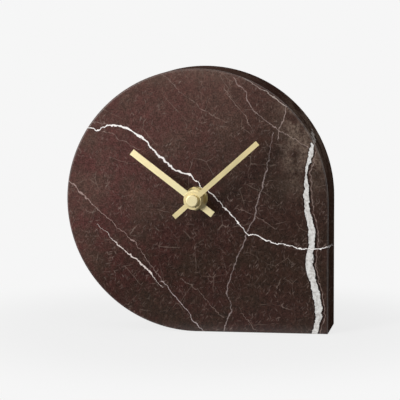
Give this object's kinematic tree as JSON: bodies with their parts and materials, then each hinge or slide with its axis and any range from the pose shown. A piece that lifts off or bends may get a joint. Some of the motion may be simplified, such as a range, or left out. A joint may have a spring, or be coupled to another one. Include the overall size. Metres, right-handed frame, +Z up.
{
  "type": "desk clock",
  "caption": "Free-standing desk clock: brass baton hands on a round dark marble slab that stands on its square corner, with a battery movement in a pocket at the back.",
  "frame": {"origin": "middle of the bounding box at the level of the surface that the clock stands on", "axes": "-Y out of the front face towards the viewer, +X to the viewer's right, +Z up; the hands' axis runs along Y at X = 0, Z = 0.0715"},
  "size_m": [0.14, 0.0512, 0.14],
  "materials": {
    "dark_marble": "polished dark burgundy-brown marble with white veins",
    "clamp_brass": "turned brass, bright",
    "hand_brass": "satin pale brass",
    "black_rubber": "matt black rubber",
    "black_case": "fine-textured black moulded plastic",
    "white_plastic": "natural white moulded acetal",
    "rotor_ferrite": "sintered grey ferrite",
    "soft_iron": "annealed soft iron sheet",
    "copper_wire": "enamelled fine copper wire",
    "green_laminate": "green lacquered laminate",
    "nickel_plate": "nickel-plated steel",
    "black_resin": "cured black resin",
    "cell_sleeve": "plain metallised foil sleeve"
  },
  "bodies": {
    "clock_body": {"marble_body": "dark_marble", "brass_washer": "clamp_brass", "clamp_nut": "clamp_brass", "threaded_bushing": "clamp_brass", "rubber_gasket": "black_rubber", "front_case": "black_case", "gear_plate": "white_plastic", "rear_cover": "black_case", "stator": "soft_iron", "coil_core": "soft_iron", "coil_bobbin": "white_plastic", "coil_winding": "copper_wire", "circuit_board": "green_laminate", "quartz_crystal": "nickel_plate", "chip_cover": "black_resin", "positive_contact": "nickel_plate", "negative_contact": "nickel_plate", "aa_battery": "cell_sleeve"},
    "minute": {"minute_hand": "hand_brass", "cap_nut": "hand_brass", "minute_wheel": "white_plastic"},
    "hour": {"hour_hand": "hand_brass", "hour_wheel": "white_plastic"},
    "motion": {"motion_wheel": "white_plastic"},
    "third": {"third_wheel": "white_plastic"},
    "seconds": {"seconds_wheel": "white_plastic"},
    "intermediate": {"intermediate_wheel": "white_plastic"},
    "rotor": {"rotor_pinion": "black_case", "rotor_magnet": "rotor_ferrite"},
    "setting": {"setting_knob": "black_case", "setting_pinion": "white_plastic"}
  },
  "joints": [
    {"name": "minute_turn", "type": "hinge", "parent": "clock_body", "child": "minute", "pos_m": [0, -0.02, 0.0715], "axis": [0, 1, 0], "continuous": true},
    {"name": "hour_turn", "type": "hinge", "parent": "clock_body", "child": "hour", "pos_m": [0, -0.015, 0.0715], "axis": [0, 1, 0], "continuous": true},
    {"name": "motion_turn", "type": "hinge", "parent": "clock_body", "child": "motion", "pos_m": [0.0084, 0.005, 0.0715], "axis": [0, 1, 0], "continuous": true},
    {"name": "third_turn", "type": "hinge", "parent": "clock_body", "child": "third", "pos_m": [0.00425, 0.0065, 0.07886], "axis": [0, 1, 0], "continuous": true},
    {"name": "seconds_turn", "type": "hinge", "parent": "clock_body", "child": "seconds", "pos_m": [0, 0.008, 0.0715], "axis": [0, 1, 0], "continuous": true},
    {"name": "intermediate_turn", "type": "hinge", "parent": "clock_body", "child": "intermediate", "pos_m": [-0.009, 0.009, 0.0715], "axis": [0, 1, 0], "continuous": true},
    {"name": "rotor_turn", "type": "hinge", "parent": "clock_body", "child": "rotor", "pos_m": [-0.01337, 0.011, 0.07908], "axis": [0, 1, 0], "continuous": true},
    {"name": "setting_turn", "type": "hinge", "parent": "clock_body", "child": "setting", "pos_m": [0.0168, 0.015, 0.0715], "axis": [0, 1, 0], "continuous": true}
  ],
  "couplings": [
    {"joint": "hour_turn", "follows": "minute_turn", "ratio": 0.083333},
    {"joint": "motion_turn", "follows": "minute_turn", "ratio": -0.33333},
    {"joint": "third_turn", "follows": "minute_turn", "ratio": -7.5},
    {"joint": "seconds_turn", "follows": "minute_turn", "ratio": 60},
    {"joint": "intermediate_turn", "follows": "minute_turn", "ratio": -300},
    {"joint": "rotor_turn", "follows": "minute_turn", "ratio": 1800},
    {"joint": "setting_turn", "follows": "minute_turn", "ratio": 1}
  ]
}
